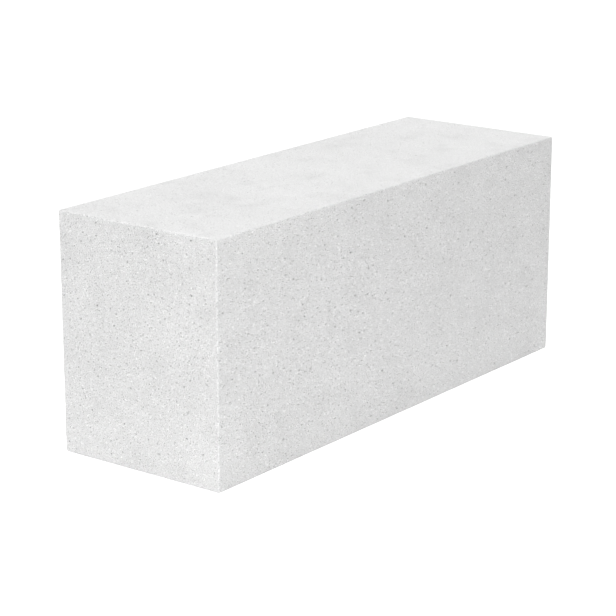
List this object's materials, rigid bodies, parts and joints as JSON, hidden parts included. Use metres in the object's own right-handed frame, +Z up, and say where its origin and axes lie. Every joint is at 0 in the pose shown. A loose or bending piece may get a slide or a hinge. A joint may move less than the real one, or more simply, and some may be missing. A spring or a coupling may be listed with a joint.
{
  "type": "aerated concrete block",
  "caption": "Plain rectangular block of white aerated concrete with a finely pored surface, flat faces and lightly eased edges; laid in thin-bed mortar as a unit of a wall.",
  "frame": {"origin": "middle of the lower bed face, on the surface that the block stands on", "axes": "+X along the length, +Y across the width, +Z up from bed to bed"},
  "size_m": [0.6, 0.2, 0.25],
  "materials": {
    "aerated_concrete": "matt white, finely pored, wire-cut"
  },
  "bodies": {
    "root": {"block": "aerated_concrete"}
  },
  "joints": []
}
